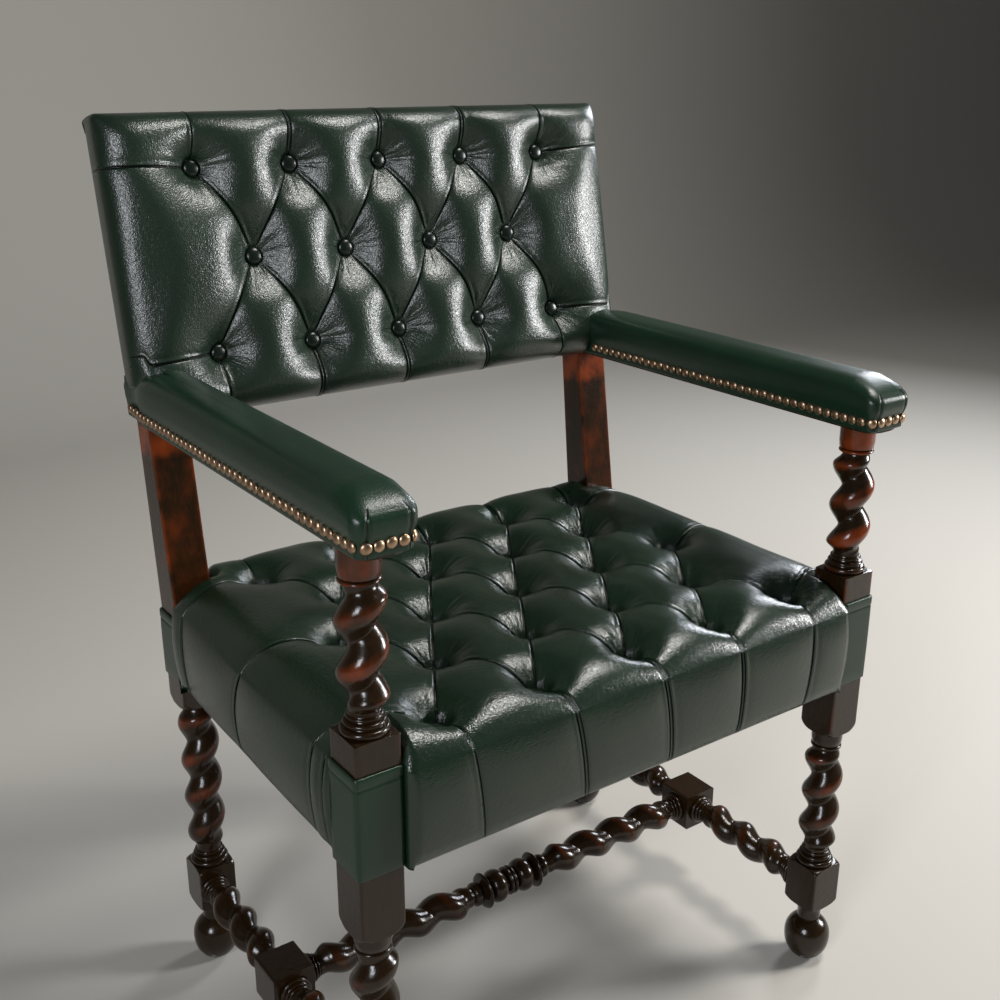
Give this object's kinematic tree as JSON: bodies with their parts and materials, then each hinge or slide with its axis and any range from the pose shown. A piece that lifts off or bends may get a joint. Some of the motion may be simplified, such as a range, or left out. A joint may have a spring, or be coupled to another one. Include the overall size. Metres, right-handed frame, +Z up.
{
  "type": "armchair",
  "caption": "Open armchair with twist-turned posts and stretchers, a deep-buttoned leather seat and raked back, and padded arms edged with brass nails.",
  "frame": {"origin": "centre of the bounding box at floor level, under the middle of the seat", "axes": "+Z up from the floor, +Y from the front of the chair to its back, +X to the right as seen from the front"},
  "size_m": [0.611, 0.5356, 0.9178],
  "materials": {
    "wood": "dark stained and waxed, worn to red-brown on the ridges",
    "frame_wood": "bare planed timber",
    "leather": "glossy dark green hide with a fine pebble grain",
    "stuffing": "hair and felt wadding",
    "webbing": "woven jute",
    "hessian": "open woven jute cloth",
    "black_cloth": "thin black cotton",
    "brass": "antiqued dome heads, bright on top",
    "steel": "plain wood screws"
  },
  "bodies": {
    "root": {"front_post_left": "wood", "front_post_right": "wood", "rear_post_left": "wood", "rear_post_right": "wood", "side_stretcher_left": "wood", "side_stretcher_right": "wood", "cross_stretcher": "wood", "arm_board_left": "wood", "arm_board_right": "wood", "side_seat_rail_left": "frame_wood", "side_seat_rail_right": "frame_wood", "front_seat_rail": "frame_wood", "rear_seat_rail": "frame_wood", "corner_block_front_left": "frame_wood", "corner_block_front_right": "frame_wood", "corner_block_rear_left": "frame_wood", "corner_block_rear_right": "frame_wood", "back_bottom_rail": "frame_wood", "back_top_rail": "frame_wood", "corner_block_screws": "steel", "seat_webbing": "webbing", "back_webbing": "webbing", "seat_hessian": "hessian", "back_hessian": "hessian", "bottom_cloth": "black_cloth", "arm_padding_left": "stuffing", "arm_padding_right": "stuffing", "seat_cushion": "leather", "seat_buttons": "leather", "back_cushion": "leather", "back_buttons": "leather", "outside_back": "leather", "arm_cover_left": "leather", "arm_cover_right": "leather", "front_post_wrap_left": "leather", "front_post_wrap_right": "leather", "rear_post_wrap_left": "leather", "rear_post_wrap_right": "leather", "arm_nails_left": "brass", "arm_nails_right": "brass"}
  },
  "joints": []
}
